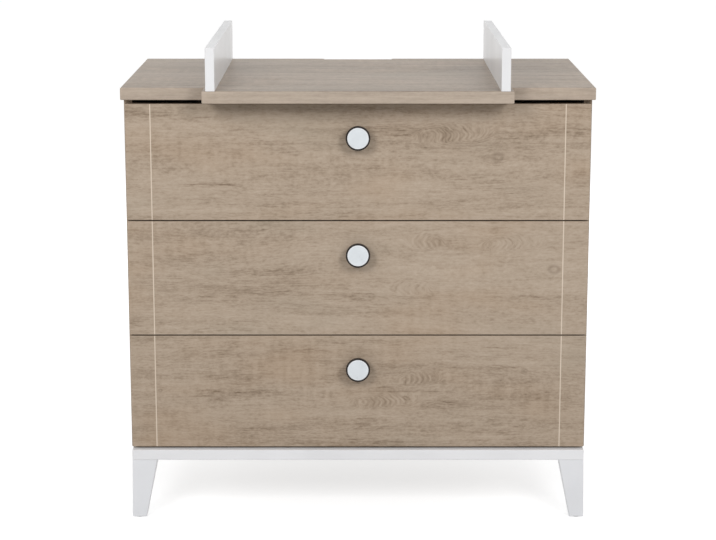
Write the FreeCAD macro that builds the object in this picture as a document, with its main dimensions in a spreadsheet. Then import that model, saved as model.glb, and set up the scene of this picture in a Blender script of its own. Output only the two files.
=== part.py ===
import FreeCAD, Part
import Sketcher
import os
import re
from FreeCAD import Placement, Rotation, Vector

# A changing dresser: a carcass with three drawers on telescopic runners stands on a low white
# frame with four tapered legs. Its top board reaches forward between two upright side guards.
# Frame: +Z up, the drawers open towards -Y, the origin is on the floor under the middle.
# All sizes are in millimetres.

SIZES = {
    # top board and its guards
    "top_width": 920,
    "top_depth": 520,
    "top_height": 870,
    "top_thickness": 24,
    "tongue_width": 596,
    "tongue_reach": 57,
    "notch_width": 148,
    "notch_depth": 13,
    "top_softness": 2,
    "guard_thickness": 18,
    "guard_height": 83,
    "guard_edge": 7,
    "guard_softness": 1.5,
    # carcass
    "side_overhang": 4,
    "board_thickness": 16,
    "back_thickness": 3,
    "back_inset": 10,
    "groove_depth": 6,
    "groove_play": 0.1,
    "rail_height": 80,
    # white base frame, legs and glides
    "base_thickness": 21,
    "base_depth": 50,
    "base_softness": 1,
    "leg_height": 120,
    "leg_foot_width": 28.7,
    "leg_flare": 2,
    "leg_softness": 2,
    "glide_radius": 11,
    "glide_height": 2,
    "glide_pin_radius": 2,
    "glide_pin_length": 10,
    # drawer fronts
    "front_inset": 3,
    "front_thickness": 16,
    "front_set_back": 10,
    "front_air": 1.5,
    "front_gap": 2.6,
    "front_softness": 1,
    "top_gap": 8.8,
    "plinth_gap": 4,
    "inlay_width": 2,
    "inlay_depth": 1.5,
    "inlay_inset": 49,
    # drawer boxes
    "box_board": 12,
    "box_lift": 20,
    "box_drop": 49,
    "box_bottom": 3,
    "box_bottom_lift": 10,
    "box_groove": 5,
    # telescopic runners, as lipped channels that nest in each other
    "runner_thickness": 12.5,
    "runner_half_height": 22.75,
    "runner_metal": 1.2,
    "runner_play": 0.4,
    "runner_mouth": 2.3,
    "runner_lip": 2.2,
    "link_set": 3.6,
    "link_lip": 1.2,
    "runner_set_back": 2,
    "runner_rear_space": 27.5,
    "runner_lift": 45,
    # round knobs
    "knob_radius": 24,
    "knob_reach": 25,
    "knob_stem_radius": 8,
    "knob_stem_length": 5,
    "knob_rim": 6,
    "knob_softness": 0.8,
    "knob_drop": 64,
    "knob_bore_length": 15,
    "cap_radius": 20.75,
    "cap_thickness": 3,
    "cap_rise": 0.4,
    "cap_play": 0.1,
    "cap_bevel": 0.6,
    # joints and fasteners: a "sink" is a countersunk head, a "rise" stands on the surface
    "fit_play": 0.05,
    "joint_inset": 60,
    "joint_pitch": 32,
    "dowel_radius": 4,
    "dowel_length": 32,
    "dowel_entry": 12,
    "cam_radius": 7.5,
    "cam_length": 12.5,
    "cam_reach": 24,
    "bolt_radius": 3,
    "bolt_entry": 11,
    "guard_screw_radius": 2.5,
    "guard_screw_length": 45,
    "guard_screw_head": 5,
    "guard_screw_sink": 3,
    "guard_screw_inset": 40,
    "base_screw_radius": 2.25,
    "base_screw_length": 33,
    "base_screw_head": 4.5,
    "base_screw_sink": 2.5,
    "base_screw_pitch": 300,
    "leg_bolt_radius": 4,
    "leg_bolt_length": 76,
    "leg_bolt_entry": 16,
    "runner_screw_radius": 1.75,
    "runner_screw_length": 13,
    "runner_screw_head": 3.5,
    "runner_screw_rise": 1.8,
    "runner_screw_inset": 37,
    "knob_screw_radius": 2,
    "knob_screw_length": 29,
    "knob_screw_head": 4,
    "knob_screw_rise": 2.4,
}

# Planes and lengths that several pieces share, worked out from the sizes above.
PLACES = {
    "rear_y": "(top_depth + tongue_reach) / 2",
    "edge_y": "rear_y - top_depth",
    "face_y": "edge_y + front_set_back",
    "front_back_y": "face_y + front_thickness",
    "carcass_y": "front_back_y + front_air",
    "back_y": "rear_y - back_inset - back_thickness",
    "rail_y": "back_y - board_thickness",
    "under_top_z": "top_height - top_thickness",
    "plinth_z": "leg_height + base_thickness",
    "side_x": "top_width / 2 - side_overhang",
    "inner_x": "side_x - board_thickness",
    "front_x": "side_x - front_inset",
    "guard_x": "tongue_width / 2 - guard_edge - guard_thickness",
    "front_height": "(under_top_z - top_gap - plinth_z - plinth_gap - 2 * front_gap) / 3",
    "box_x": "inner_x - runner_thickness",
    "box_inner_x": "box_x - box_board",
    "box_height": "front_height - box_lift - box_drop",
    "runner_y": "carcass_y + runner_set_back",
    "runner_end_y": "back_y - runner_rear_space",
    "outer_tip": "runner_thickness - runner_mouth",
    "link_half": "runner_half_height - runner_metal - runner_play",
    "link_tip": "outer_tip - runner_metal - runner_play",
    "hook_half": "link_half - runner_metal - runner_play",
    "hook_root": "link_set + runner_metal + runner_play",
    "hook_tip": "link_tip - runner_metal - runner_play",
    "inner_half": "link_half - runner_metal - link_lip - runner_play",
    "bolt_length": "bolt_entry + cam_reach",
}

ROWS = ("lower", "middle", "upper")
HANDS = {"left": -1, "right": 1}
TURN = {
    "+x": Rotation(Vector(0, 1, 0), 90),
    "-x": Rotation(Vector(0, 1, 0), -90),
    "+y": Rotation(Vector(1, 0, 0), -90),
    "-y": Rotation(Vector(1, 0, 0), 90),
    "+z": Rotation(),
    "-z": Rotation(Vector(1, 0, 0), 180),
}
NEAR = 0.01


# ---------------------------------------------------------------- formulas and the two sheets

def bound(formula, places="Places."):
    """A formula in plain size names, as an expression on the cells of the two sheets."""
    def cell(word):
        name = word.group()
        if name in SIZES:
            return f"Sizes.{name}"
        return places + name
    return re.sub(r"[a-z_]+", cell, formula)


def value(formula):
    return float(doc.Sizes.evalExpression(bound(formula)))


def fill_sheet(label, contents):
    sheet = doc.addObject("Spreadsheet::Sheet", label)
    for row, (name, content) in enumerate(contents.items(), start=1):
        sheet.set(f"A{row}", name)
        sheet.set(f"B{row}", content)
        sheet.setAlias(f"B{row}", name)
    doc.recompute()


def both(half):
    """The two ends of a span that is centred on the middle plane."""
    return f"-({half})", half


def flank(hand, near, far):
    """The two ends of a span on the left or the right of the middle plane."""
    if hand > 0:
        return near, far
    return f"-({far})", f"-({near})"


def step(point, along, distance):
    """A point moved a distance along one of the six directions, such as +x."""
    moved = list(point)
    axis = "xyz".index(along[1])
    moved[axis] = f"{point[axis]} {along[0]} ({distance})"
    return tuple(moved)


def opposite(along):
    return {"+": "-", "-": "+"}[along[0]] + along[1]


def outward(hand):
    return "+x" if hand > 0 else "-x"


# ---------------------------------------------------------------- plain solids and booleans

def place(item, point):
    for axis, formula in zip("xyz", point):
        item.setExpression(f"Placement.Base.{axis}", bound(formula))
    return item


def board(name, spans):
    """A rectangular board that fills one span on each axis."""
    box = doc.addObject("Part::Box", name)
    for size, (low, high) in zip(("Length", "Width", "Height"), spans):
        box.setExpression(size, bound(f"({high}) - ({low})"))
    return place(box, [low for low, high in spans])


def turned(item, point, along):
    item.Placement = Placement(Vector(), TURN[along])
    return place(item, point)


def rod(name, radius, length, point, along):
    """A round bar that starts at a point and runs along a direction."""
    item = doc.addObject("Part::Cylinder", name)
    item.setExpression("Radius", bound(radius))
    item.setExpression("Height", bound(length))
    return turned(item, point, along)


def taper(name, radius, end_radius, length, point, along):
    item = doc.addObject("Part::Cone", name)
    item.setExpression("Radius1", bound(radius))
    item.setExpression("Radius2", bound(end_radius))
    item.setExpression("Height", bound(length))
    return turned(item, point, along)


def gather(name, items):
    """Separate solids that share one node."""
    item = doc.addObject("Part::Compound", name)
    item.Links = items
    return item


def join(name, base, tool):
    item = doc.addObject("Part::Fuse", name)
    item.Base = base
    item.Tool = tool
    return item


def carve(name, base, tools):
    """A piece with grooves and holes taken out of it."""
    item = doc.addObject("Part::Cut", name)
    item.Base = base
    item.Tool = gather(f"{name}_cuts", tools)
    return item


def mirrored_pair(name, left):
    """A left piece and its mirror image on the right, as two solids of one node."""
    right = doc.addObject("Part::Mirroring", f"{left.Name}_mirrored")
    right.Source = left
    right.Normal = Vector(1, 0, 0)
    return gather(name, [left, right])


# ---------------------------------------------------------------- sketched bodies

def new_body(name):
    return doc.addObject("PartDesign::Body", name)


def tie(sketch, line, across, up):
    """Tie the start of a line to formulas for its two coordinates."""
    for kind, axis, formula in (("DistanceX", -2, across), ("DistanceY", -1, up)):
        distance = value(formula)
        if abs(distance) < NEAR:
            sketch.addConstraint(Sketcher.Constraint("PointOnObject", line, 1, axis))
            continue
        if distance > 0:
            ends = (-1, 1, line, 1)
        else:
            ends = (line, 1, -1, 1)
            formula = f"-({formula})"
        index = sketch.addConstraint(Sketcher.Constraint(kind, *ends, abs(distance)))
        sketch.setExpression(f"Constraints[{index}]", bound(formula))


def attach(item, body, plane):
    """Lay a sketch or a feature on one of the body's own planes."""
    origin = [feature for feature in body.Origin.OriginFeatures if feature.Role == plane]
    item.AttachmentSupport = [(origin[0], "")]
    item.MapMode = "FlatFace"


def draw(body, name, plane, outlines):
    """A sketch of closed straight-sided outlines on one of the body's own planes."""
    sketch = body.newObject("Sketcher::SketchObject", name)
    attach(sketch, body, plane)
    for corners in outlines:
        first = sketch.GeometryCount
        points = [Vector(value(across), value(up), 0) for across, up in corners]
        for start, end in zip(points, points[1:] + points[:1]):
            sketch.addGeometry(Part.LineSegment(start, end))
        for line, (across, up) in enumerate(corners, start=first):
            following = line + 1 if line + 1 < sketch.GeometryCount else first
            sketch.addConstraint(Sketcher.Constraint("Coincident", line, 2, following, 1))
            tie(sketch, line, across, up)
    return sketch


def rectangle(across, up):
    (left, right), (low, high) = across, up
    return [(left, low), (right, low), (right, high), (left, high)]


def pad(body, sketch, length, backwards=False):
    feature = body.newObject("PartDesign::Pad", f"{sketch.Name}_pad")
    feature.Profile = sketch
    feature.setExpression("Length", bound(length))
    feature.Reversed = backwards
    doc.recompute()
    return feature


def pocket(body, sketch, depth):
    """A pocket into the solid, which has to take something away."""
    before = body.Shape.Volume
    feature = body.newObject("PartDesign::Pocket", f"{sketch.Name}_pocket")
    feature.Profile = sketch
    feature.setExpression("Length", bound(depth))
    doc.recompute()
    if body.Shape.Volume > before - NEAR:
        raise RuntimeError(f"{feature.Name} cuts nothing")
    return feature


def revolve(body, sketch):
    """A full turn about the sketch's upright axis."""
    feature = body.newObject("PartDesign::Revolution", f"{sketch.Name}_turned")
    feature.Profile = sketch
    feature.ReferenceAxis = (sketch, ["V_Axis"])
    feature.Angle = 360
    doc.recompute()
    return feature


def soften(body, feature, radius, wanted):
    """Round the edges of a feature that the test picks out."""
    edges = enumerate(feature.Shape.Edges, start=1)
    picked = [f"Edge{number}" for number, edge in edges if wanted(edge.BoundBox)]
    fillet = body.newObject("PartDesign::Fillet", f"{feature.Name}_edges")
    fillet.Base = (feature, picked)
    fillet.setExpression("Radius", bound(radius))
    doc.recompute()
    return fillet


def soft_board(name, spans, radius, wanted=lambda box: True):
    """A board with rounded edges: a rectangle padded upwards."""
    across, deep, (low, high) = spans
    body = new_body(name)
    sketch = draw(body, f"{name}_plan", "XY_Plane", [rectangle(across, deep)])
    feature = pad(body, sketch, f"({high}) - ({low})")
    soften(body, feature, radius, wanted)
    return place(body, ("0", "0", low))


# ---------------------------------------------------------------- fasteners and their holes

FASTENERS = []


def fasten(kind, boards, point, along):
    """Note one fastener: the pieces it enters, where it starts and which way it runs."""
    FASTENERS.append((kind, boards, point, along))


def fastener(kind, name, point, along, play="0"):
    """One fastener or, with some play, the hole it sits in."""
    radius = f"{kind}_radius + {play}"
    shank = rod(name, radius, f"{kind}_length", point, along)
    head = f"{kind}_head"
    if f"{kind}_sink" in SIZES:
        cone = taper(f"{name}_head", f"{head} + {play}", radius, f"{kind}_sink", point, along)
        return join(f"{name}_joined", shank, cone)
    if f"{kind}_rise" in SIZES and play == "0":
        disc = rod(f"{name}_head", head, f"{kind}_rise", point, opposite(along))
        return join(f"{name}_joined", shank, disc)
    return shank


def fasteners_of(kind):
    chosen = [(point, along) for sort, boards, point, along in FASTENERS if sort == kind]
    return [fastener(kind, f"one_{kind}", *where) for where in chosen]


def holes_in(board_name):
    found = []
    for kind, boards, point, along in FASTENERS:
        if board_name in boards:
            found.append(fastener(kind, f"hole_for_{kind}", point, along, "fit_play"))
    return found


def cam_joint(holder, receiver, point, along, entry_face, cam_along):
    """A cam in one board pulls a bolt that is screwed into the next board.

    The point lies on the face between the boards, the bolt runs along the given direction
    into the receiver, and the cam goes into the holder from its entry face."""
    bolt_start = step(point, along, "bolt_entry")
    fasten("bolt", (holder, receiver, "cam_housings"), bolt_start, opposite(along))
    cam_start = list(step(point, opposite(along), "cam_reach"))
    cam_start["xyz".index(cam_along[1])] = entry_face
    fasten("cam", (holder,), tuple(cam_start), cam_along)


def dowel_joint(holder, receiver, point, along):
    fasten("dowel", (holder, receiver), step(point, along, "dowel_entry"), opposite(along))


def note_carcass_joints():
    """Cams and dowels between the top, the sides, the bottom and the rear rail."""
    for hand_name, hand in HANDS.items():
        side = f"side_panel_{hand_name}"
        face_x = f"{hand} * inner_x"
        out = outward(hand)
        for end_y, inwards in (("carcass_y", "+"), ("back_y", "-")):
            cam_y = f"{end_y} {inwards} joint_inset"
            dowel_y = f"{cam_y} {inwards} joint_pitch"
            low_z = "plinth_z + board_thickness / 2"
            floor_z = "plinth_z + board_thickness"
            cam_joint("bottom_panel", side, (face_x, cam_y, low_z), out, floor_z, "-z")
            dowel_joint("bottom_panel", side, (face_x, dowel_y, low_z), out)
            side_x = f"{hand} * (side_x - board_thickness / 2)"
            cam_joint(side, "top_panel", (side_x, cam_y, "under_top_z"), "+z", face_x, out)
            dowel_joint(side, "top_panel", (side_x, dowel_y, "under_top_z"), "+z")
        rail_middle = (face_x, "rail_y + board_thickness / 2", "under_top_z - rail_height / 2")
        cam_joint("rear_rail", side, rail_middle, out, "rail_y", "+y")
        dowel_joint("rear_rail", side, step(rail_middle, "-z", "rail_height / 3"), out)


def note_base_joints():
    """Dowels between the base rails, leg bolts, glides and the screws up into the carcass."""
    for hand_name, hand in HANDS.items():
        side_rail = f"base_rail_{hand_name}"
        dowel_x = f"{hand} * (front_x - base_depth * 3 / 4)"
        middle_z = "leg_height + base_thickness / 2"
        front_seam = (dowel_x, "edge_y + base_depth", middle_z)
        rear_seam = (dowel_x, "rear_y - base_depth", middle_z)
        dowel_joint("base_rail_front", side_rail, front_seam, "+y")
        dowel_joint("base_rail_rear", side_rail, rear_seam, "-y")
        bolt_x = f"{hand} * (front_x - base_depth / 2)"
        bolt_z = "leg_height + leg_bolt_entry"
        for end, bolt_y in (("front", "edge_y + base_depth / 2"), ("rear", "rear_y - base_depth / 2")):
            boards = (f"base_rail_{end}", f"leg_{end}_{hand_name}")
            fasten("leg_bolt", boards, (bolt_x, bolt_y, bolt_z), "-z")
    for number in (-1, 0, 1):
        screw_x = f"{number} * base_screw_pitch"
        front_y = "(carcass_y + edge_y + base_depth) / 2"
        rear_y = "(back_y + rear_y - base_depth) / 2"
        fasten("base_screw", ("base_rail_front", "bottom_panel"), (screw_x, front_y, "leg_height"), "+z")
        fasten("base_screw", ("base_rail_rear", "bottom_panel"), (screw_x, rear_y, "leg_height"), "+z")


def note_guard_screws():
    for hand_name, hand in HANDS.items():
        screw_x = f"{hand} * (guard_x + guard_thickness / 2)"
        for number in (-1, 0, 1):
            screw_y = f"{number} * (rear_y - guard_screw_inset)"
            boards = ("top_panel", f"guard_{hand_name}")
            fasten("guard_screw", boards, (screw_x, screw_y, "under_top_z"), "+z")


def note_drawer_screws():
    """Screws of the cabinet runners in the sides, and of the knobs in the fronts."""
    for row in ROWS:
        for hand_name, hand in HANDS.items():
            boards = (f"side_panel_{hand_name}", f"runner_{row}_cabinet")
            screw_x = f"{hand} * (inner_x - runner_metal)"
            for screw_y in ("runner_y + runner_screw_inset", "runner_end_y - runner_screw_inset"):
                fasten("runner_screw", boards, (screw_x, screw_y, runner_z(row)), outward(hand))
        boards = (f"drawer_{row}_front", f"drawer_{row}_knob")
        fasten("knob_screw", boards, ("0", "front_back_y", knob_z(row)), "-y")


# ---------------------------------------------------------------- heights of each drawer row

def front_z(row):
    return f"(plinth_z + plinth_gap + {ROWS.index(row)} * (front_height + front_gap))"


def box_z(row):
    return f"({front_z(row)} + box_lift)"


def runner_z(row):
    return f"{box_z(row)} + runner_lift"


def knob_z(row):
    return f"{front_z(row)} + front_height - knob_drop"


# ---------------------------------------------------------------- top and guards

def make_top():
    """The T-shaped top: its tongue reaches forward, its rear edge has a cable notch."""
    body = new_body("top_blank")
    half = "top_width / 2"
    tongue = "tongue_width / 2"
    notch = "notch_width / 2"
    notch_y = "rear_y - notch_depth"
    right = [(tongue, "-rear_y"), (tongue, "edge_y"), (half, "edge_y"),
             (half, "rear_y"), (notch, "rear_y"), (notch, notch_y)]
    left = [(f"-({across})", up) for across, up in reversed(right)]
    plan = draw(body, "top_plan", "XY_Plane", [right + left])
    slab = pad(body, plan, "top_thickness")
    thickness = value("top_thickness")
    notch_front = value(notch_y)

    def outer_edge(box):
        flat = box.ZLength < NEAR and (box.ZMin < NEAR or box.ZMax > thickness - NEAR)
        return flat and box.YMin < notch_front - NEAR
    soften(body, slab, "top_softness", outer_edge)
    place(body, ("0", "0", "under_top_z"))
    return carve("top_panel", body, holes_in("top_panel"))


def make_guard(hand_name, hand):
    name = f"guard_{hand_name}"
    across = flank(hand, "guard_x", "guard_x + guard_thickness")
    spans = (across, both("rear_y"), ("top_height", "top_height + guard_height"))
    body = soft_board(f"{name}_blank", spans, "guard_softness", lambda box: box.ZMax > NEAR)
    return carve(name, body, holes_in(name))


# ---------------------------------------------------------------- carcass

def make_side(hand_name, hand):
    """A side panel with the back's groove and the holes for its joints and runners."""
    name = f"side_panel_{hand_name}"
    upright = ("plinth_z", "under_top_z")
    panel = board(f"{name}_blank", (flank(hand, "inner_x", "side_x"), ("carcass_y", "rear_y"), upright))
    groove_y = ("back_y - groove_play", "back_y + back_thickness + groove_play")
    groove_x = flank(hand, "inner_x", "inner_x + groove_depth")
    groove = board(f"{name}_groove", (groove_x, groove_y, upright))
    return carve(name, panel, [groove] + holes_in(name))


def make_bottom():
    spans = (both("inner_x"), ("carcass_y", "back_y"), ("plinth_z", "plinth_z + board_thickness"))
    return carve("bottom_panel", board("bottom_blank", spans), holes_in("bottom_panel"))


def make_back():
    across = both("inner_x + groove_depth - groove_play")
    return board("back_panel", (across, ("back_y", "back_y + back_thickness"), ("plinth_z", "under_top_z")))


def make_rear_rail():
    spans = (both("inner_x"), ("rail_y", "back_y"), ("under_top_z - rail_height", "under_top_z"))
    return carve("rear_rail", board("rail_blank", spans), holes_in("rear_rail"))


# ---------------------------------------------------------------- base frame and legs

def make_base_rail(name, across, deep):
    spans = (across, deep, ("leg_height", "plinth_z"))
    body = soft_board(f"{name}_blank", spans, "base_softness")
    return carve(name, body, holes_in(name))


def make_base_rails():
    front = ("edge_y", "edge_y + base_depth")
    rear = ("rear_y - base_depth", "rear_y")
    rails = [make_base_rail("base_rail_front", both("front_x"), front),
             make_base_rail("base_rail_rear", both("front_x"), rear)]
    for hand_name, hand in HANDS.items():
        across = flank(hand, "front_x - base_depth", "front_x")
        rails.append(make_base_rail(f"base_rail_{hand_name}", across, (front[1], rear[0])))
    return rails


def foot_middle(hand, end):
    """The middle of a leg's foot: it flares a little outwards, and forwards on a front leg."""
    foot_x = f"{hand} * (front_x + leg_flare - leg_foot_width / 2)"
    if end == "front":
        return foot_x, "edge_y - leg_flare + leg_foot_width / 2"
    return foot_x, "rear_y - leg_foot_width / 2"


def make_leg(end, hand_name, hand):
    """A leg that tapers on its inner faces: a wedge from its foot to the base rail."""
    name = f"leg_{end}_{hand_name}"
    foot_x, foot_y = foot_middle(hand, end)
    foot_half = "leg_foot_width / 2"
    head_x = flank(hand, "front_x - base_depth", "front_x")
    head_y = ("edge_y", "edge_y + base_depth")
    if end == "rear":
        head_y = ("rear_y - base_depth", "rear_y")
    body = new_body(f"{name}_blank")
    wedge = body.newObject("PartDesign::AdditiveWedge", f"{name}_wedge")
    attach(wedge, body, "XZ_Plane")
    corners = {
        "Xmin": f"{foot_x} - {foot_half}", "Xmax": f"{foot_x} + {foot_half}",
        "Ymin": "glide_height", "Ymax": "leg_height",
        "Zmin": f"-({foot_y} + {foot_half})", "Zmax": f"-({foot_y} - {foot_half})",
        "X2min": head_x[0], "X2max": head_x[1],
        "Z2min": f"-({head_y[1]})", "Z2max": f"-({head_y[0]})",
    }
    for corner, formula in corners.items():
        wedge.setExpression(corner, bound(formula))
    doc.recompute()
    soften(body, wedge, "leg_softness", lambda box: box.ZLength > NEAR)
    pin_hole = rod(f"{name}_pin_hole", "glide_pin_radius + fit_play", "glide_pin_length + fit_play",
                   (foot_x, foot_y, "glide_height"), "+z")
    return carve(name, body, [pin_hole] + holes_in(name))


def make_glides():
    """A nail-in glide under each leg: a disc on the floor and its pin."""
    glides = []
    for end in ("front", "rear"):
        for hand in HANDS.values():
            foot_x, foot_y = foot_middle(hand, end)
            disc = rod("glide_disc", "glide_radius", "glide_height", (foot_x, foot_y, "0"), "+z")
            pin = rod("glide_pin", "glide_pin_radius", "glide_pin_length", (foot_x, foot_y, "glide_height"), "+z")
            glides.append(join("glide", disc, pin))
    return gather("foot_glides", glides)


# ---------------------------------------------------------------- runners

def channel(body, name, outline, length):
    """A rolled channel: a section in the XZ plane, padded along the runner."""
    section = draw(body, name, "XZ_Plane", [outline])
    pad(body, section, length, backwards=True)


def lipped_outline(web, tip, half, lip):
    """A channel that opens towards the drawer, with a lip turned in at each flange's end."""
    upper = [("{web} + runner_metal", "{half} - runner_metal"),
             ("{tip} - runner_metal", "{half} - runner_metal"),
             ("{tip} - runner_metal", "{half} - runner_metal - {lip}"),
             ("{tip}", "{half} - runner_metal - {lip}"),
             ("{tip}", "{half}"),
             ("{web}", "{half}")]
    terms = {"web": web, "tip": tip, "half": half, "lip": lip}
    upper = [(across.format(**terms), up.format(**terms)) for across, up in upper]
    lower = [(across, f"-({up})") for across, up in reversed(upper)]
    return upper + lower


def hooked_outline():
    """The drawer's channel: its flanges reach into the link and hook behind the link's lips."""
    upper = [("runner_thickness", "inner_half"),
             ("hook_tip", "inner_half"),
             ("hook_tip", "hook_half"),
             ("hook_root", "hook_half"),
             ("hook_root", "inner_half - runner_metal"),
             ("runner_thickness - runner_metal", "inner_half - runner_metal")]
    lower = [(across, f"-({up})") for across, up in reversed(upper)]
    return upper + lower


def make_runner(name, outline, row):
    left = new_body(f"{name}_left")
    channel(left, f"{name}_section", outline, "runner_end_y - runner_y")
    place(left, ("-inner_x", "runner_y", runner_z(row)))
    holes = holes_in(name)
    if holes:
        return carve(name, mirrored_pair(f"{name}_blank", left), holes)
    return mirrored_pair(name, left)


def make_runners(row):
    cabinet = lipped_outline("0", "outer_tip", "runner_half_height", "runner_lip")
    link = lipped_outline("link_set", "link_tip", "link_half", "link_lip")
    return [make_runner(f"runner_{row}_cabinet", cabinet, row),
            make_runner(f"runner_{row}_link", link, row),
            make_runner(f"drawer_{row}_runners", hooked_outline(), row)]


# ---------------------------------------------------------------- drawers

def groove_span(row):
    """The height of the groove that holds a drawer's bottom."""
    low = f"{box_z(row)} + box_bottom_lift - groove_play"
    return low, f"{low} + box_bottom + 2 * groove_play"


def make_front(row):
    """A drawer front with soft edges, two grooves for its inlays and one for the box's bottom."""
    name = f"drawer_{row}_front"
    body = new_body(f"{name}_blank")
    face = draw(body, f"{name}_face", "XZ_Plane", [rectangle(both("front_x"), ("0", "front_height"))])
    slab = pad(body, face, "front_thickness", backwards=True)
    soften(body, slab, "front_softness", lambda box: box.YMax < NEAR)
    inlay_x = "front_x - inlay_inset"
    strips = [flank(hand, f"{inlay_x} - inlay_width / 2", f"{inlay_x} + inlay_width / 2")
              for hand in HANDS.values()]
    grooves = draw(body, f"{name}_inlays", "XZ_Plane", [rectangle(strip, ("0", "front_height")) for strip in strips])
    pocket(body, grooves, "inlay_depth")
    place(body, ("0", "face_y", front_z(row)))
    across = both("box_inner_x + box_groove")
    groove = board(f"{name}_groove", (across, ("front_back_y - box_groove", "front_back_y"), groove_span(row)))
    return carve(name, body, [groove] + holes_in(name))


def make_inlays(row):
    """A thin strip in each groove of the front, with the front's own rounded ends."""
    name = f"drawer_{row}_inlays"
    strip = new_body(f"{name}_left")
    section = draw(strip, f"{name}_section", "YZ_Plane", [rectangle(("0", "inlay_depth"), ("0", "front_height"))])
    bar = pad(strip, section, "inlay_width")
    soften(strip, bar, "front_softness", lambda box: box.YMax < NEAR and box.XLength > NEAR)
    place(strip, ("-(front_x - inlay_inset + inlay_width / 2)", "face_y", front_z(row)))
    return mirrored_pair(name, strip)


def make_box(row):
    """The drawer box: two sides, a back and a thin bottom that sits in grooves."""
    low = box_z(row)
    upright = (low, f"{low} + box_height")
    along = ("front_back_y", "runner_end_y")
    pieces = []
    for hand_name, hand in HANDS.items():
        name = f"drawer_{row}_side_{hand_name}"
        panel = board(f"{name}_blank", (flank(hand, "box_inner_x", "box_x"), along, upright))
        groove_x = flank(hand, "box_inner_x", "box_inner_x + box_groove")
        groove = board(f"{name}_groove", (groove_x, along, groove_span(row)))
        pieces.append(carve(name, panel, [groove]))
    bottom_z = f"{low} + box_bottom_lift"
    bottom_top = f"{bottom_z} + box_bottom"
    back_y = ("runner_end_y - box_board", "runner_end_y")
    pieces.append(board(f"drawer_{row}_back", (both("box_inner_x"), back_y, (bottom_top, upright[1]))))
    across = both("box_inner_x + box_groove - groove_play")
    bottom_y = ("front_back_y - box_groove + groove_play", "runner_end_y")
    pieces.append(board(f"drawer_{row}_bottom", (across, bottom_y, (bottom_z, bottom_top))))
    return pieces


def make_knob(row):
    """A turned knob that widens from its stem to a rim, with a disc let into its face."""
    seat = "-(knob_reach - cap_thickness)"
    rim = "cap_radius + cap_play"
    bore = "knob_screw_radius + fit_play"
    profile = [(bore, "0"), ("knob_stem_radius", "0"),
               ("knob_stem_radius", "-knob_stem_length"), ("knob_radius", "-(knob_reach - knob_rim)"),
               ("knob_radius", "-knob_reach"), (rim, "-knob_reach"), (rim, seat), ("0", seat),
               ("0", "-knob_bore_length"), (bore, "-knob_bore_length")]
    name = f"drawer_{row}_knob"
    knob = new_body(name)
    turned_knob = revolve(knob, draw(knob, f"{name}_profile", "XY_Plane", [profile]))
    widest = 2 * value("knob_radius") - NEAR
    soften(knob, turned_knob, "knob_softness", lambda box: box.XLength > widest and box.YLength < NEAR)
    name = f"drawer_{row}_knob_cap"
    cap = new_body(name)
    front = "-(knob_reach + cap_rise)"
    disc = [("0", seat), ("cap_radius", seat), ("cap_radius", f"{front} + cap_bevel"),
            ("cap_radius - cap_bevel", front), ("0", front)]
    revolve(cap, draw(cap, f"{name}_profile", "XY_Plane", [disc]))
    for body in (knob, cap):
        place(body, ("0", "face_y", knob_z(row)))
    return [knob, cap]


def make_knob_screw(row):
    screw = fastener("knob_screw", f"knob_screw_{row}", ("0", "front_back_y", knob_z(row)), "-y")
    screw.Label = f"drawer_{row}_knob_screw"
    return screw


# ---------------------------------------------------------------- the whole dresser

def make_carcass():
    nodes = [make_top(), make_bottom(), make_back(), make_rear_rail()]
    nodes += make_base_rails()
    for hand_name, hand in HANDS.items():
        nodes.append(make_guard(hand_name, hand))
        nodes.append(make_side(hand_name, hand))
        for end in ("front", "rear"):
            nodes.append(make_leg(end, hand_name, hand))
    nodes.append(make_glides())
    return nodes


def make_fasteners():
    cams = gather("cam_blanks", fasteners_of("cam"))
    return [carve("cam_housings", cams, holes_in("cam_housings")),
            gather("cam_bolts", fasteners_of("bolt")),
            gather("dowels", fasteners_of("dowel")),
            gather("guard_screws", fasteners_of("guard_screw")),
            gather("base_screws", fasteners_of("base_screw")),
            gather("leg_bolts", fasteners_of("leg_bolt")),
            gather("runner_screws", fasteners_of("runner_screw"))]


def make_drawer(row):
    nodes = [make_front(row), make_inlays(row)]
    nodes += make_box(row)
    nodes += make_knob(row)
    nodes.append(make_knob_screw(row))
    nodes += make_runners(row)
    return nodes


def check(nodes):
    for item in doc.Objects:
        if "Invalid" in item.State or "Error" in item.State:
            raise RuntimeError(f"{item.Label} failed: {item.State}")
    for node in nodes:
        if node.Shape.isNull() or not node.Shape.isValid():
            raise RuntimeError(f"{node.Label} has no valid shape")


doc = FreeCAD.newDocument("changing_dresser")
fill_sheet("Sizes", {name: str(size) for name, size in SIZES.items()})
fill_sheet("Places", {name: "=" + bound(formula, places="") for name, formula in PLACES.items()})
note_carcass_joints()
note_base_joints()
note_guard_screws()
note_drawer_screws()
parts = make_carcass() + make_fasteners()
for drawer_row in ROWS:
    parts += make_drawer(drawer_row)
doc.recompute()
check(parts)
os.makedirs("parts", exist_ok=True)
for part in parts:
    part.Shape.exportStep(f"parts/{part.Label}.step")
print(f"{len(parts)} nodes, {sum(len(part.Shape.Solids) for part in parts)} solids")
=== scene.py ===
import math
from collections import namedtuple

import bpy
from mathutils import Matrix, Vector


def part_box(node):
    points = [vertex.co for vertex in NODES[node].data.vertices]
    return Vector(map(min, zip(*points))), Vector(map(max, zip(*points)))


# Looks of a changing dresser: oak decor boards, white lacquered guards and base frame, three drawers
# with round knobs. Everything is in metres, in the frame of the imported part: the fronts face -Y.

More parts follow.
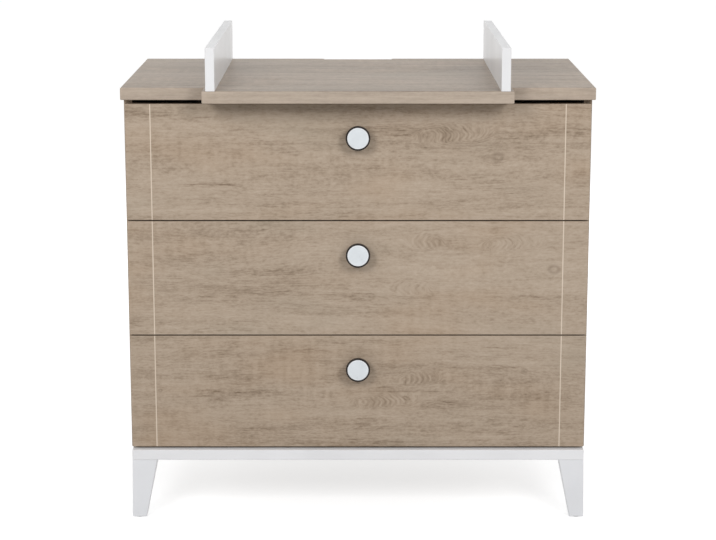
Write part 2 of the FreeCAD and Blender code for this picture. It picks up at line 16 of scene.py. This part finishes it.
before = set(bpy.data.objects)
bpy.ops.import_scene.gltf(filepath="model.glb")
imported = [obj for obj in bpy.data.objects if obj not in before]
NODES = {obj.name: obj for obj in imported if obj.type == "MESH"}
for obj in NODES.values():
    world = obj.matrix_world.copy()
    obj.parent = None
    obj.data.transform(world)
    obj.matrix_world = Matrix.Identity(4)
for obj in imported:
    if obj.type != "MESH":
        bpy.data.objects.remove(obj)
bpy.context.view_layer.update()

ROWS = ("lower", "middle", "upper")


# ---------------------------------------------------------------- formulas as shader nodes

def linear(red, green, blue):
    """A colour given as 8-bit display values."""
    def channel(level):
        level /= 255
        if level <= 0.04045:
            return level / 12.92
        return ((level + 0.055) / 1.055) ** 2.4
    return channel(red), channel(green), channel(blue), 1.0


def dimmed(colour, share):
    """A linear colour with only that share of its light."""
    return tuple(channel * share for channel in colour[:3]) + (1.0,)


def even(pace):
    """The same number for each of the three axes."""
    return pace, pace, pace


def blend(share, first, second):
    """A field between two others: the first where the share is zero, the second where it is one."""
    return first + (second - first) * share


class Field:
    """A number or a colour that a node tree works out at each point."""

    def __init__(self, nodes, socket):
        self.nodes = nodes
        self.socket = socket

    def __add__(self, other):
        return self.nodes.math("ADD", self, other)

    def __radd__(self, other):
        return self.nodes.math("ADD", other, self)

    def __sub__(self, other):
        return self.nodes.math("SUBTRACT", self, other)

    def __rsub__(self, other):
        return self.nodes.math("SUBTRACT", other, self)

    def __mul__(self, other):
        return self.nodes.math("MULTIPLY", self, other)

    def __truediv__(self, other):
        return self.nodes.math("DIVIDE", self, other)

    def size(self):
        return self.nodes.math("ABSOLUTE", self)

    def sine(self):
        return self.nodes.math("SINE", self)

    def least(self, other):
        return self.nodes.math("MINIMUM", self, other)

    def most(self, other):
        return self.nodes.math("MAXIMUM", self, other)

    def power(self, other):
        return self.nodes.math("POWER", self, other)

    def hypot(self, other):
        """The length of a vector of this number and another."""
        return (self * self + other * other).power(0.5)

    def rise(self, low, high, bottom=0.0, top=1.0):
        """Runs smoothly from bottom to top while this number goes from low to high."""
        node = self.nodes.new("ShaderNodeMapRange")
        node.interpolation_type = "SMOOTHSTEP"
        self.nodes.feed(node.inputs["Value"], self)
        limits = {"From Min": low, "From Max": high, "To Min": bottom, "To Max": top}
        for name, level in limits.items():
            node.inputs[name].default_value = level
        return Field(self.nodes, node.outputs["Result"])


class Nodes:
    """A node tree that takes formulas."""

    def __init__(self, tree):
        self.tree = tree

    def new(self, kind):
        return self.tree.nodes.new(kind)

    def feed(self, socket, source):
        """A field or a constant goes into a socket."""
        if isinstance(source, Field):
            self.tree.links.new(source.socket, socket)
        else:
            socket.default_value = source

    def split(self, socket):
        """The three parts of a vector."""
        node = self.new("ShaderNodeSeparateXYZ")
        self.tree.links.new(socket, node.inputs[0])
        return tuple(Field(self, output) for output in node.outputs)

    def math(self, operation, first, second=0.0):
        node = self.new("ShaderNodeMath")
        node.operation = operation
        self.feed(node.inputs[0], first)
        self.feed(node.inputs[1], second)
        return Field(self, node.outputs[0])


class Paint(Nodes):
    """One material: a Principled shader and the formulas that feed it."""

    def __init__(self, name, metallic=0.0, specular=0.5, coat=0.0):
        self.material = bpy.data.materials.new(name)
        self.material.use_nodes = True
        super().__init__(self.material.node_tree)
        self.shader = self.tree.nodes["Principled BSDF"]
        self.shader.inputs["Metallic"].default_value = metallic
        self.shader.inputs["Specular IOR Level"].default_value = specular
        self.shader.inputs["Coat Weight"].default_value = coat
        places = self.new("ShaderNodeTexCoord")
        self.place = self.split(places.outputs["Object"])
        self.normal = self.split(places.outputs["Normal"])

    def noise(self, x, y, z, detail=2.0, roughness=0.5):
        """Smooth noise about zero, at most a half either way, one bump for each unit of its place."""
        place = self.new("ShaderNodeCombineXYZ")
        for socket, source in zip(place.inputs, (x, y, z)):
            self.feed(socket, source)
        node = self.new("ShaderNodeTexNoise")
        node.inputs["Scale"].default_value = 1.0
        node.inputs["Detail"].default_value = detail
        node.inputs["Roughness"].default_value = roughness
        self.tree.links.new(place.outputs[0], node.inputs["Vector"])
        return Field(self, node.outputs["Fac"]) - 0.5

    def speckle(self, pace, detail=2.0, roughness=0.5, shift=(0.0, 0.0, 0.0)):
        """Noise fixed in the object. Pace is its bumps for each metre along x, y and z."""
        place = [here * bumps + move if move else here * bumps
                 for here, bumps, move in zip(self.place, pace, shift)]
        return self.noise(*place, detail, roughness)

    def ramp(self, share, stops):
        """A colour from a scale with stops, each a position and a colour."""
        node = self.new("ShaderNodeValToRGB")
        elements = node.color_ramp.elements
        while len(elements) < len(stops):
            elements.new(0.5)
        for element, (position, colour) in zip(elements, stops):
            element.position = position
            element.color = colour
        self.feed(node.inputs["Fac"], share)
        return Field(self, node.outputs["Color"])

    def tint(self, share, first, second):
        """A colour between two others."""
        node = self.new("ShaderNodeMix")
        node.data_type = "RGBA"
        self.feed(node.inputs["Factor"], share)
        self.feed(node.inputs[6], first)
        self.feed(node.inputs[7], second)
        return Field(self, node.outputs[2])

    def colour(self, source):
        self.feed(self.shader.inputs["Base Color"], source)

    def roughness(self, source):
        self.feed(self.shader.inputs["Roughness"], source)

    def relief(self, height, depth):
        """Bumps of a depth in metres, where the height field is one."""
        node = self.new("ShaderNodeBump")
        node.inputs["Strength"].default_value = 1.0
        node.inputs["Distance"].default_value = depth
        self.feed(node.inputs["Height"], height)
        self.tree.links.new(node.outputs["Normal"], self.shader.inputs["Normal"])

    def near_edge(self, node_name, reach):
        """One on the edges of a board and zero on its faces, from the board's own box."""
        low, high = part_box(node_name)
        first, second, third = [(end - start) / 2 - (here - (start + end) / 2).size()
                                for here, start, end in zip(self.place, low, high)]
        middle = first.least(second).most(first.most(second).least(third))
        return middle.rise(0.0, reach, 1.0, 0.0)

    def cover(self, names):
        """These nodes of the part get this material and no other."""
        for name in names:
            slots = NODES[name].data.materials
            slots.clear()
            slots.append(self.material)


# ---------------------------------------------------------------- oak decor

OAK_DEEP = linear(100, 83, 67)
OAK_DARK = linear(136, 119, 101)
OAK_MIDDLE = linear(169, 152, 134)
OAK_PALE = linear(186, 170, 153)
OAK_WARM = linear(170, 146, 122)
OAK_COOL = linear(158, 148, 132)
OAK_BAND = linear(184, 172, 160)
OAK_SCALE = [(0.05, OAK_DEEP), (0.30, OAK_DARK), (0.52, OAK_MIDDLE), (0.80, OAK_PALE)]

# The axes of a board along its fibres, across them and through it.
GRAINS = {"x": (0, 2, 1), "z": (2, 1, 0), "flat": (0, 1, 2)}
# How far one unit of seed moves the figure across the fibres and into the board.
SEED_ACROSS = 1.37
SEED_INWARD = 0.73

# A layer of noise in the figure: its bumps for each metre along the fibres and across them, a shift
# that tells it from the others, its detail and its roughness.
Layer = namedtuple("Layer", "along across shift detail roughness", defaults=(0.0, 2.0, 0.5))
SWELL = Layer(1.2, 6.0)
WAVER = Layer(9.0, 34.0)
ZONE = Layer(1.3, 7.0, 9.0, 3.0)
PATCH = Layer(3.2, 9.0, 4.0)
CLUSTER = Layer(4.5, 21.0, 6.0, 3.0)
BROAD = Layer(2.6, 36.0, 0.0, 3.0, 0.6)
MOTTLE = Layer(34.0, 80.0, 5.0, 4.0, 0.7)
STREAK = Layer(6.0, 190.0, 0.0, 4.0, 0.7)
FINE = Layer(30.0, 360.0, 0.0, 3.0, 0.65)
GRIT = Layer(120.0, 290.0, 8.0, 3.0, 0.65)
PORE = Layer(40.0, 950.0)
TICK = Layer(26.0, 300.0, 2.0)

# How far the two slow layers bend the field, in metres.
SWELL_BEND = 0.075
WAVER_BEND = 0.005

# How much each part of the figure moves the tone, the place on the scale of colours.
ZONE_TONE = 0.34
BROAD_TONE = 0.38
STREAK_TONE = 0.27
STREAK_MORE_ON_EDGE = 0.12
MOTTLE_TONE = 0.36
GRIT_TONE = 0.52
LESS_ON_EDGE = 0.55
FINE_TONE = 0.30
RAY_TONE = 0.30
RING_TONE = 0.07
TICK_TONE = 0.21
PORE_TONE = 0.12
MARK_TONE = 0.05
ARCH_TONE = 0.04

# How far the colour of each is mixed in where it is strongest.
PATCH_SHARE = 0.4
BAND_SHARE = 0.35
KNOT_SHARE = 0.34
WEAR_SHARE = 0.45

# A knot: its places along and across the grain and its size.
Knot = namedtuple("Knot", "along across size")
# An arch is a cathedral figure. Its spread is how fast its rings follow each other, negative where
# they open the other way.
Arch = namedtuple("Arch", "along across half_length half_height spread")
# A mark is a cluster of dashes.
Mark = namedtuple("Mark", "along across half_length half_height")

# A knot's length, the reach of its bend, the bend itself and its waver, in sizes of the knot.
KNOT_LENGTH = 1.3
KNOT_REACH = 3.2
KNOT_BEND = -0.55
KNOT_WAVER = 0.9
# The power that an arch is bowed by, its bow in half heights, its waver in metres, how far the field
# gives way to it, and the pace of its rings in radians for each metre.
ARCH_BOW = 1.3
ARCH_RISE = 0.55
ARCH_WAVER = 0.013
ARCH_SHARE = 0.8
RING_PACE = 950.0
# How strong the random clusters of dashes are beside the marks, and how many more dashes they hold.
CLUSTER_SHARE = 0.7
MORE_TICKS = 0.05


class Oak(Paint):
    """The paint of an oak board. Its field is a place across the grain, bent with the figure."""

    def __init__(self, node_name, grain, seed, specular):
        super().__init__(f"oak_{node_name}", specular=specular)
        self.seed = seed
        self.offset = seed * SEED_ACROSS
        axes = GRAINS[grain]
        self.fibre, self.across, depth = (self.place[axis] for axis in axes)
        on_end = self.normal[axes[0]].size().rise(0.6, 0.8)
        self.on_edge = self.normal[2].size().rise(0.8, 0.6) if grain == "flat" else on_end
        self.along = blend(on_end, self.fibre, self.across)
        self.side = blend(on_end, self.across, self.fibre + depth) + self.offset
        self.inward = depth + seed * SEED_INWARD
        self.swell = self.layer(self.side, SWELL._replace(shift=seed))
        self.waver = self.layer(self.side, WAVER)
        self.field = self.side + self.swell * SWELL_BEND + self.waver * WAVER_BEND

    def layer(self, sideways, kind):
        """A layer of noise, straight along the side of the board or bent with its field."""
        return self.noise(self.along * kind.along, sideways * kind.across,
                          self.inward * kind.across + kind.shift, kind.detail, kind.roughness)

    def oval(self, spot, half_length, half_height):
        """The place across an oval round a spot, and the distance from it, one on its outline."""
        run = (self.fibre - spot.along) / half_length
        rise = (self.across - spot.across) / half_height
        return rise, run.hypot(rise)

    def bend_to_arches(self, arches):
        """Bends the field to nested arches. Gives the waves of their rings and where they are."""
        rings = 0.0
        arched = 0.0
        for arch in arches:
            rise, gap = self.oval(arch, arch.half_length, arch.half_height)
            inside = gap.rise(0.45, 1.0, 1.0, 0.0)
            bow = rise.size().power(ARCH_BOW) * (ARCH_RISE * arch.half_height)
            bow = bow + self.waver * ARCH_WAVER
            nest = (self.fibre - arch.along) * arch.spread + bow
            ring = (nest * RING_PACE).sine() * inside
            breaks = self.noise(self.along * 18.0, self.side * 60.0, self.seed, 2.0)
            rings = ring * breaks.rise(-0.18, 0.12) + rings
            nested = nest + (arch.across + self.offset)
            self.field = blend(inside * ARCH_SHARE, self.field, nested)
            arched = inside + arched
        return rings, arched

    def bend_round_knots(self, knots):
        """Bends the field round knots. Gives where their dark, one-sided rings are."""
        dark = 0.0
        for knot in knots:
            rise, gap = self.oval(knot, KNOT_LENGTH * knot.size, knot.size)
            gap = gap + self.waver * KNOT_WAVER
            near = gap.rise(0.0, KNOT_REACH, 1.0, 0.0)
            self.field = self.field + rise * near * (KNOT_BEND * knot.size)
            ring = gap.rise(0.2, 0.8) * gap.rise(1.6, 0.9)
            dark = ring * self.swell.rise(-0.3, 0.3, 0.5, 1.0) + dark
        return dark

    def dashed(self, marks):
        """Where dashes gather: in random clusters and, more strongly, at the marks."""
        gathered = self.layer(self.side, CLUSTER).rise(-0.04, -0.20) * CLUSTER_SHARE
        for mark in marks:
            gap = self.oval(mark, mark.half_length, mark.half_height)[1]
            gathered = gathered.most(gap.rise(0.4, 1.0, 1.0, 0.0))
        return gathered


def oak(node_name, grain, seed, level=0.53, banding=0.0, lead=0.0, specular=0.14,
        knots=(), arches=(), marks=()):
    """Oak decor: streaks that follow a bent field across the grain, pores, flecks and knots.

    Grain is a name in GRAINS. On the ends of the board the fibres run along the end's own length.
    The level is the tone that everything varies about. The edges of the board are lighter by the
    banding, and the part of them that stands furthest forward by the lead as well."""
    paint = Oak(node_name, grain, seed, specular)
    on_edge = paint.on_edge
    rings, arched = paint.bend_to_arches(arches)
    dark_knots = paint.bend_round_knots(knots)

    zone = paint.layer(paint.side, ZONE)
    patch = paint.layer(paint.side, PATCH)
    broad = paint.layer(paint.field, BROAD)
    mottle = paint.layer(paint.field, MOTTLE)
    streak = paint.layer(paint.field, STREAK)
    fine = paint.layer(paint.field, FINE)
    grit = paint.layer(paint.field, GRIT)
    marked = paint.dashed(marks)
    ticks = (paint.layer(paint.field, TICK) + marked * MORE_TICKS).rise(0.03, -0.17) * marked
    pores = paint.layer(paint.field, PORE).rise(-0.10, -0.20) * broad.rise(0.12, -0.1)
    ray = paint.noise(paint.along * 80.0, paint.side * 14.0 + paint.swell * 4.0, paint.inward * 14.0)

    lighter = banding
    if lead:
        front_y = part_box(node_name)[0].y
        lighter = banding + paint.place[1].rise(front_y + 0.03, front_y + 0.01) * lead
    calm = 1.0 - on_edge * LESS_ON_EDGE
    tone = level + on_edge * lighter + zone * ZONE_TONE + broad * BROAD_TONE
    tone = tone + streak * (STREAK_TONE + on_edge * STREAK_MORE_ON_EDGE)
    tone = tone + (mottle * MOTTLE_TONE + grit * GRIT_TONE) * calm + fine * FINE_TONE
    tone = tone + ray * patch.rise(-0.05, 0.2) * RAY_TONE + rings * RING_TONE
    tone = tone - ticks * TICK_TONE - pores * PORE_TONE - marked * MARK_TONE - arched * ARCH_TONE

    colour = paint.ramp(tone, OAK_SCALE)
    colour = paint.tint(patch.rise(0.0, 0.3, 0.0, PATCH_SHARE), colour, OAK_WARM)
    colour = paint.tint(patch.rise(0.0, -0.3, 0.0, PATCH_SHARE), colour, OAK_COOL)
    if banding:
        colour = paint.tint(on_edge * BAND_SHARE, colour, OAK_BAND)
    if knots:
        colour = paint.tint(dark_knots.least(1.0) * KNOT_SHARE, colour, OAK_DEEP)
    edge = paint.near_edge(node_name, reach=0.0022)
    rub = edge * paint.speckle(even(60.0), detail=3.0).rise(-0.15, 0.25, 0.2, 0.75)
    paint.colour(paint.tint(rub * WEAR_SHARE, colour, OAK_PALE))
    paint.roughness(0.42 + ticks * 0.14 + pores * 0.10 - edge * 0.05 + fine * 0.08)
    paint.relief(fine * 0.5 - ticks * 0.7 - pores * 0.7, depth=0.00012)
    paint.cover([node_name])


# The top board's level is set well below the fronts': painted shade for the weaker light that reaches
# its upward face.
oak("top_panel", "flat", 1.0, level=0.40, banding=0.025, lead=0.09, specular=0.5)
oak("side_panel_left", "z", 2.0)
oak("side_panel_right", "z", 3.0)
oak("rear_rail", "x", 4.0)
oak("bottom_panel", "flat", 5.0)

FIRST_FRONT_SEED = 6.0
# The lower front's lower level is painted shade: the light falling off towards the bottom of the
# dresser.
FRONT_LEVELS = {"upper": 0.565, "middle": 0.565, "lower": 0.52}
FRONT_KNOTS = {
    "upper": [Knot(0.272, 0.733, 0.0085)],
    "middle": [Knot(0.387, 0.509, 0.0075)],
    "lower": [Knot(0.334, 0.302, 0.0035), Knot(-0.395, 0.262, 0.003)],
}
FRONT_ARCHES = {
    "upper": [Arch(0.185, 0.778, 0.085, 0.027, 0.62)],
    "middle": [Arch(0.130, 0.566, 0.045, 0.022, -0.60), Arch(0.305, 0.561, 0.070, 0.020, 0.62),
               Arch(0.100, 0.472, 0.050, 0.022, -0.55)],
    "lower": [Arch(0.055, 0.240, 0.080, 0.021, 0.62), Arch(0.122, 0.286, 0.050, 0.017, 0.66)],
}
FRONT_MARKS = {
    "upper": [Mark(-0.286, 0.677, 0.075, 0.009), Mark(-0.165, 0.693, 0.055, 0.007),
              Mark(-0.300, 0.807, 0.060, 0.008), Mark(0.236, 0.671, 0.070, 0.006),
              Mark(0.425, 0.676, 0.035, 0.005)],
    "middle": [Mark(0.000, 0.455, 0.085, 0.014), Mark(-0.180, 0.463, 0.065, 0.009),
               Mark(-0.222, 0.404, 0.045, 0.006), Mark(-0.298, 0.459, 0.035, 0.009),
               Mark(0.320, 0.452, 0.120, 0.008), Mark(-0.215, 0.588, 0.060, 0.007)],
    "lower": [Mark(0.285, 0.309, 0.060, 0.008), Mark(0.170, 0.232, 0.070, 0.014),
              Mark(0.300, 0.352, 0.070, 0.008), Mark(-0.250, 0.262, 0.090, 0.009),
              Mark(0.080, 0.312, 0.080, 0.006), Mark(-0.120, 0.345, 0.080, 0.008)],
}
for number, row in enumerate(ROWS):
    oak(f"drawer_{row}_front", "x", FIRST_FRONT_SEED + number, level=FRONT_LEVELS[row],
        knots=FRONT_KNOTS[row], arches=FRONT_ARCHES[row], marks=FRONT_MARKS[row])


# ---------------------------------------------------------------- lacquer, foil, wood and plastic

GUARD_WHITE = linear(229, 229, 230)
BASE_WHITE = linear(233, 233, 235)
LEG_WHITE = linear(228, 229, 232)
RUBBED_LACQUER = linear(205, 200, 192)
MELAMINE_WHITE = linear(232, 231, 227)
SCUFF_GREY = linear(190, 188, 184)
HARDBOARD_SCALE = [(0.1, linear(207, 205, 202)), (0.9, linear(235, 233, 230))]
INLAY_SCALE = [(0.1, linear(200, 184, 165)), (0.9, linear(222, 207, 190))]
BEECH_SCALE = [(0.15, linear(186, 146, 108)), (0.85, linear(222, 188, 150))]
ZINC_SCALE = [(0.15, linear(158, 160, 163)), (0.85, linear(206, 208, 210))]
GLIDE_SCALE = [(0.1, linear(168, 168, 166)), (0.9, linear(205, 205, 202))]
LACQUER_SEED_STEP = 1.7


def lacquer(node_name, base, number):
    """Sprayed lacquer on board: a faint orange peel, soft marks and slightly rubbed edges."""
    paint = Paint(f"lacquer_{node_name}", specular=0.5, coat=0.08)
    seed = number * LACQUER_SEED_STEP
    cloud = paint.speckle(even(7.0), detail=3.0, shift=(0.0, seed, 0.0))
    peel = paint.speckle(even(420.0), shift=(0.0, 0.0, seed))
    scuff = paint.speckle((38.0, 90.0, 38.0), detail=4.0, roughness=0.6, shift=(0.0, 0.0, seed))
    edge = paint.near_edge(node_name, reach=0.0025)
    colour = paint.tint(cloud.rise(-0.2, 0.25), base, dimmed(base, 0.93))
    paint.colour(paint.tint(edge * scuff.rise(-0.1, 0.25) * 0.35, colour, RUBBED_LACQUER))
    paint.roughness(0.32 + cloud * 0.10 + scuff.rise(0.05, 0.3) * 0.12 - edge * 0.05)
    paint.relief(peel, depth=0.00005)
    paint.cover([node_name])


# The lacquered boards and their whites. Their order here gives each its seed.
LACQUERED = {
    "guard_left": GUARD_WHITE,
    "guard_right": GUARD_WHITE,
    "base_rail_front": BASE_WHITE,
    "base_rail_rear": BASE_WHITE,
    "base_rail_left": BASE_WHITE,
    "base_rail_right": BASE_WHITE,
    "leg_front_left": LEG_WHITE,
    "leg_front_right": LEG_WHITE,
    "leg_rear_left": LEG_WHITE,
    "leg_rear_right": LEG_WHITE,
}
for number, (node_name, base) in enumerate(LACQUERED.items()):
    lacquer(node_name, base, number)


def melamine(names):
    """White foil on chipboard: even, with a fine dry grain and a few grey scuffs."""
    paint = Paint("white_melamine", specular=0.4)
    cloud = paint.speckle(even(5.0), detail=3.0)
    grain = paint.speckle(even(900.0))
    scuff = paint.speckle((24.0, 9.0, 60.0), detail=4.0, roughness=0.65)
    shade = dimmed(MELAMINE_WHITE, 0.90)
    colour = paint.tint(cloud.rise(-0.25, 0.25), MELAMINE_WHITE, shade)
    paint.colour(paint.tint(scuff.rise(0.10, 0.34) * 0.25, colour, SCUFF_GREY))
    paint.roughness(0.48 + grain * 0.10 + scuff * 0.10)
    paint.relief(grain, depth=0.00006)
    paint.cover(names)


def hardboard(names):
    """A lacquered white face with the pressed fibres showing through."""
    paint = Paint("white_hardboard", specular=0.3)
    fibres = paint.speckle((240.0, 240.0, 60.0), detail=5.0, roughness=0.7)
    cross = paint.speckle((60.0, 240.0, 240.0), detail=5.0, roughness=0.7)
    cloud = paint.speckle(even(4.0), detail=3.0)
    paint.colour(paint.ramp(0.5 + cloud * 0.5 + (fibres + cross) * 0.5, HARDBOARD_SCALE))
    paint.roughness(0.62 + fibres * 0.15)
    paint.relief(fibres + cross, depth=0.00010)
    paint.cover(names)


def inlay(names):
    """Cream strips of maple-like foil with their grain along the strip."""
    paint = Paint("cream_inlay", specular=0.35)
    grain = paint.speckle((1500.0, 1500.0, 22.0), detail=3.0)
    cloud = paint.speckle(even(8.0))
    paint.colour(paint.ramp(0.5 + grain * 0.8 + cloud * 0.4, INLAY_SCALE))
    paint.roughness(0.5 + grain * 0.12)
    paint.relief(grain, depth=0.00004)
    paint.cover(names)


def beech(names):
    """Turned beech with short darker flecks."""
    paint = Paint("beech", specular=0.3)
    fleck = paint.speckle(even(260.0), detail=3.0, roughness=0.6)
    cloud = paint.speckle(even(30.0))
    paint.colour(paint.ramp(0.5 + fleck * 0.9 + cloud * 0.4, BEECH_SCALE))
    paint.roughness(0.6 + fleck * 0.15)
    paint.relief(fleck, depth=0.00010)
    paint.cover(names)


def zinc(names):
    """Bright zinc plate: crystalline patches, rolling marks along the runner and duller spots."""
    paint = Paint("zinc_steel", metallic=1.0)
    spangle = paint.speckle((160.0, 110.0, 160.0), detail=3.0)
    drawn = paint.speckle((900.0, 9.0, 900.0), detail=3.0)
    haze = paint.speckle((22.0, 12.0, 22.0), detail=3.0)
    paint.colour(paint.ramp(0.5 + spangle * 0.6 + haze * 0.5, ZINC_SCALE))
    paint.roughness(0.34 + spangle * 0.14 + haze * 0.16 + drawn * 0.10)
    paint.relief(drawn + spangle * 0.4, depth=0.00004)
    paint.cover(names)


def polyethylene(names):
    """Hard grey plastic with a moulded texture and scratches from the floor."""
    paint = Paint("glide_plastic", specular=0.4)
    texture = paint.speckle(even(700.0))
    scratch = paint.speckle((60.0, 600.0, 60.0), detail=3.0)
    paint.colour(paint.ramp(0.5 + scratch * 0.8 + texture * 0.3, GLIDE_SCALE))
    paint.roughness(0.5 + scratch * 0.2)
    paint.relief(texture, depth=0.00006)
    paint.cover(names)


def in_each_row(*parts):
    """The nodes of these parts of each drawer."""
    return [f"drawer_{row}_{part}" for row in ROWS for part in parts]


melamine(in_each_row("side_left", "side_right", "back"))
hardboard(["back_panel"] + in_each_row("bottom"))
inlay(in_each_row("inlays"))
beech(["dowels"])
zinc(["cam_housings", "cam_bolts", "guard_screws", "base_screws", "leg_bolts", "runner_screws"]
     + [f"runner_{row}_{part}" for row in ROWS for part in ("cabinet", "link")]
     + in_each_row("runners", "knob_screw"))
polyethylene(["foot_glides"])


# ---------------------------------------------------------------- knobs

BRONZE_SCALE = [(0.1, linear(22, 17, 14)), (0.9, linear(40, 32, 28))]
BRONZE_POLISHED = linear(74, 63, 55)
DISC_SCALE = [(0.2, linear(208, 213, 217)), (0.8, linear(221, 226, 230))]
DISC_RIM_HIGHLIGHT = linear(236, 237, 239)


def knob_metal(row, middle, rim_radius):
    """Turned bronze, nearly black, with its outer edge polished by use."""
    paint = Paint(f"knob_metal_{row}", metallic=0.35, specular=0.35)
    x, y, z = paint.place
    radius = (x - middle.x).hypot(z - middle.z)
    turning = paint.noise(radius * 2600.0, y * 2600.0, 0.5)
    haze = paint.speckle(even(90.0), detail=3.0)
    colour = paint.ramp(0.5 + haze * 0.6 + turning * 0.3, BRONZE_SCALE)
    polish = radius.rise(rim_radius - 0.0009, rim_radius - 0.0002)
    paint.colour(paint.tint(polish * 0.10, colour, BRONZE_POLISHED))
    paint.roughness(0.36 + haze * 0.2 + turning * 0.08)
    paint.relief(turning, depth=0.00003)
    paint.cover([f"drawer_{row}_knob"])


def knob_disc(row, middle, disc_radius):
    """White lacquer, with a painted highlight that makes it a little brighter towards its edge."""
    paint = Paint(f"knob_disc_{row}", specular=0.5, coat=0.1)
    x, _, z = paint.place
    radius = (x - middle.x).hypot(z - middle.z)
    peel = paint.speckle(even(700.0))
    cloud = paint.speckle(even(60.0), detail=3.0)
    colour = paint.ramp(0.5 + cloud, DISC_SCALE)
    # Painted highlight: the rim of the disc is mixed towards a brighter white.
    edge = radius.rise(disc_radius - 0.0028, disc_radius - 0.0008)
    paint.colour(paint.tint(edge * 0.6, colour, DISC_RIM_HIGHLIGHT))
    paint.roughness(0.30 + cloud * 0.15)
    paint.relief(peel, depth=0.00003)
    paint.cover([f"drawer_{row}_knob_cap"])


for row in ROWS:
    low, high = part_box(f"drawer_{row}_knob")
    middle = (low + high) / 2
    knob_metal(row, middle, (high.x - low.x) / 2)
    low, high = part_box(f"drawer_{row}_knob_cap")
    knob_disc(row, middle, (high.x - low.x) / 2)


# ---------------------------------------------------------------- floor, background and light

FLOOR_HALF = 30.0
FLOOR_GREY = (0.55, 0.55, 0.55, 1.0)
# The floor glows where it is seen, a little less near the object, so that its shadow shows there.
GLOW_NEAR, GLOW_FAR = 0.70, 0.80
GLOW_START, GLOW_END = 1.0, 1.8
WORLD_WHITE = (1.0, 1.0, 1.0, 1.0)
WORLD_LEVEL = 0.38
# Each softbox: its place, the point that it faces, its width and height, its power in watts and
# whether it shows in gloss.
SOFTBOXES = {
    "softbox_left": ((-1.65, -3.2, 2.3), (0, -0.1, 0.55), (1.0, 1.3), 54.5, True),
    "softbox_right": ((1.65, -3.2, 2.3), (0, -0.1, 0.55), (1.0, 1.3), 54.5, True),
    "softbox_side_left": ((-3.4, 0.35, 1.5), (0, 0.05, 0.55), (1.2, 1.4), 21, False),
    "softbox_side_right": ((3.4, 0.35, 1.5), (0, 0.05, 0.55), (1.2, 1.4), 21, False),
    "softbox_rear": ((0, 3.6, 1.6), (0, 0.2, 0.5), (2.4, 1.4), 34, False),
}


def seen_white(nodes):
    """One for the rays that show the background: from the camera, in gloss and through glass."""
    path = nodes.new("ShaderNodeLightPath")
    camera_ray, gloss, glass = [Field(nodes, path.outputs[f"Is {ray} Ray"])
                                for ray in ("Camera", "Glossy", "Transmission")]
    return camera_ray.most(gloss).most(glass)


def floor_finish():
    """Matt grey that glows where it is seen, so that it shows white apart from the shadow."""
    material = bpy.data.materials.new("studio_floor")
    material.use_nodes = True
    nodes = Nodes(material.node_tree)
    nodes.tree.nodes.clear()
    matt = nodes.new("ShaderNodeBsdfDiffuse")
    matt.inputs["Color"].default_value = FLOOR_GREY
    x, y, _ = nodes.split(nodes.new("ShaderNodeTexCoord").outputs["Object"])
    strength = x.hypot(y).rise(GLOW_START, GLOW_END, GLOW_NEAR, GLOW_FAR)
    glow = nodes.new("ShaderNodeEmission")
    nodes.feed(glow.inputs["Strength"], seen_white(nodes) * strength)
    both = nodes.new("ShaderNodeAddShader")
    surface = nodes.new("ShaderNodeOutputMaterial")
    nodes.tree.links.new(matt.outputs[0], both.inputs[0])
    nodes.tree.links.new(glow.outputs[0], both.inputs[1])
    nodes.tree.links.new(both.outputs[0], surface.inputs["Surface"])
    return material


def softbox(name, place, target, size, power, glossy):
    lamp = bpy.data.lights.new(name, "AREA")
    lamp.shape = "RECTANGLE"
    lamp.size, lamp.size_y = size
    lamp.energy = power
    item = bpy.data.objects.new(name, lamp)
    item.location = place
    item.rotation_euler = (Vector(target) - Vector(place)).to_track_quat("-Z", "Y").to_euler()
    item.visible_camera = False
    item.visible_glossy = glossy
    bpy.context.scene.collection.objects.link(item)


floor_mesh = bpy.data.meshes.new("studio_floor")
floor_mesh.from_pydata([(-FLOOR_HALF, -FLOOR_HALF, 0), (FLOOR_HALF, -FLOOR_HALF, 0),
                        (FLOOR_HALF, FLOOR_HALF, 0), (-FLOOR_HALF, FLOOR_HALF, 0)],
                       [], [(0, 1, 2, 3)])
floor_mesh.materials.append(floor_finish())
floor = bpy.data.objects.new("studio_floor", floor_mesh)
bpy.context.scene.collection.objects.link(floor)

world = bpy.data.worlds.new("studio")
bpy.context.scene.world = world
world.use_nodes = True
world_nodes = Nodes(world.node_tree)
sky = world.node_tree.nodes["Background"]
sky.inputs["Color"].default_value = WORLD_WHITE
world_nodes.feed(sky.inputs["Strength"], seen_white(world_nodes).rise(0.0, 1.0, WORLD_LEVEL, 1.0))

for name, settings in SOFTBOXES.items():
    softbox(name, *settings)


# ---------------------------------------------------------------- camera

CAMERA_PLACE = (0.0, -4.131, 1.349)
CAMERA_PITCH = 12.14
CAMERA_LENS = 101.9
CAMERA_SENSOR = 36

lens = bpy.data.cameras.new("camera")
lens.sensor_width = CAMERA_SENSOR
lens.lens = CAMERA_LENS
camera = bpy.data.objects.new("camera", lens)
camera.location = CAMERA_PLACE
camera.rotation_euler = (math.radians(90 - CAMERA_PITCH), 0, 0)
bpy.context.scene.collection.objects.link(camera)
bpy.context.scene.camera = camera
bpy.context.scene.view_settings.view_transform = "Standard"
